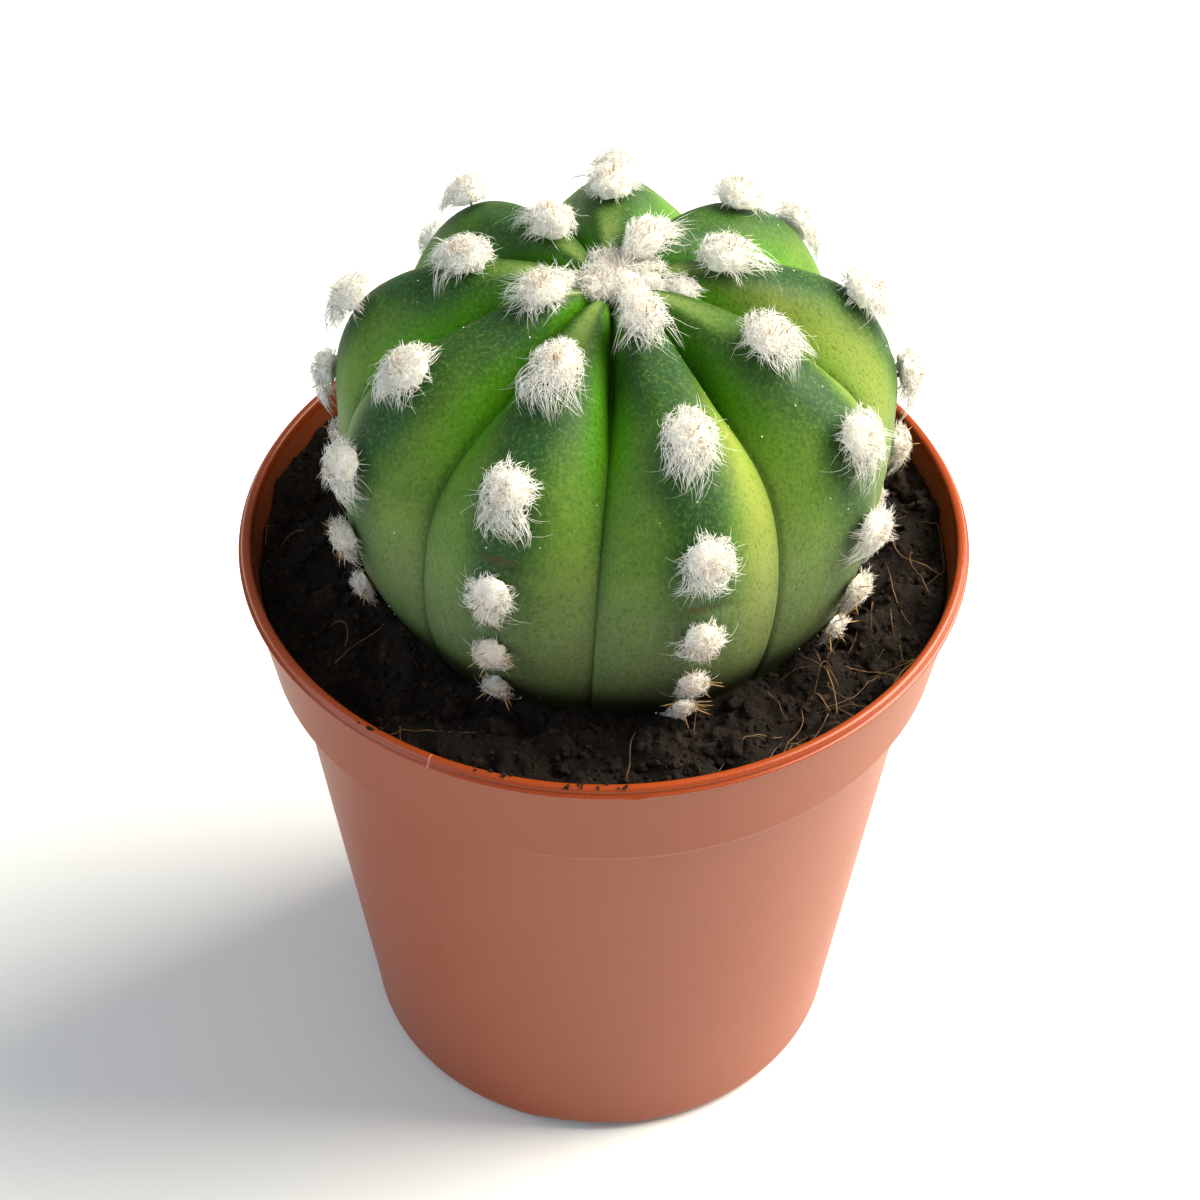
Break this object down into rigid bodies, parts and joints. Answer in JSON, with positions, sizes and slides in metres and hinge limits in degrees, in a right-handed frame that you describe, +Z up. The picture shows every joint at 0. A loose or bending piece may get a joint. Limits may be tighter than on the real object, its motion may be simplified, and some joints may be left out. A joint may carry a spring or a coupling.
{
  "type": "potted domino cactus",
  "caption": "Low globular cactus with broad vertical ribs and rows of large white woolly areoles, growing in dark peat in a round tapered terracotta-coloured plastic nursery pot.",
  "frame": {"origin": "centre of the ring that the pot stands on", "axes": "+Z up along the pot's axis, -Y towards the viewer of the picture, +X to its right"},
  "size_m": [0.085, 0.085, 0.1168],
  "materials": {
    "pot_plastic": "satin",
    "peat": "matte",
    "cactus_skin": "satin",
    "areole_wool": "matte",
    "spine": "satin"
  },
  "bodies": {
    "root": {"pot": "pot_plastic", "soil": "peat", "cactus": "cactus_skin"}
  },
  "joints": []
}
